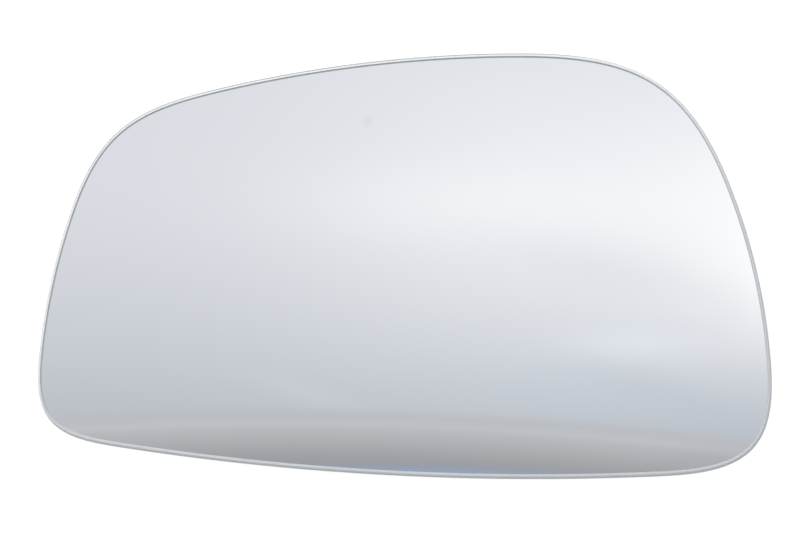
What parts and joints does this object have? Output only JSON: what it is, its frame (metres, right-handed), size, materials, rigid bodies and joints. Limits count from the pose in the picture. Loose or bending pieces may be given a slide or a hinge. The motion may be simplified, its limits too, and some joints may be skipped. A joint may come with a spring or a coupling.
{
  "type": "door mirror glass",
  "caption": "Convex door mirror glass: a thin bent sheet with bowed sides, eased corners and a pencil-ground rim, silvered to show a wide view behind a car.",
  "frame": {"origin": "middle of the footprint, at the lowest point of the rim that the glass rests on", "axes": "+X along the glass to its tall end, +Y across it to the upper side, +Z out of the reflecting face"},
  "size_m": [0.1798, 0.1038, 0.0052],
  "materials": {
    "mirror_glass": "polished convex mirror face with a ground rim"
  },
  "bodies": {
    "root": {"mirror_glass": "mirror_glass"}
  },
  "joints": []
}
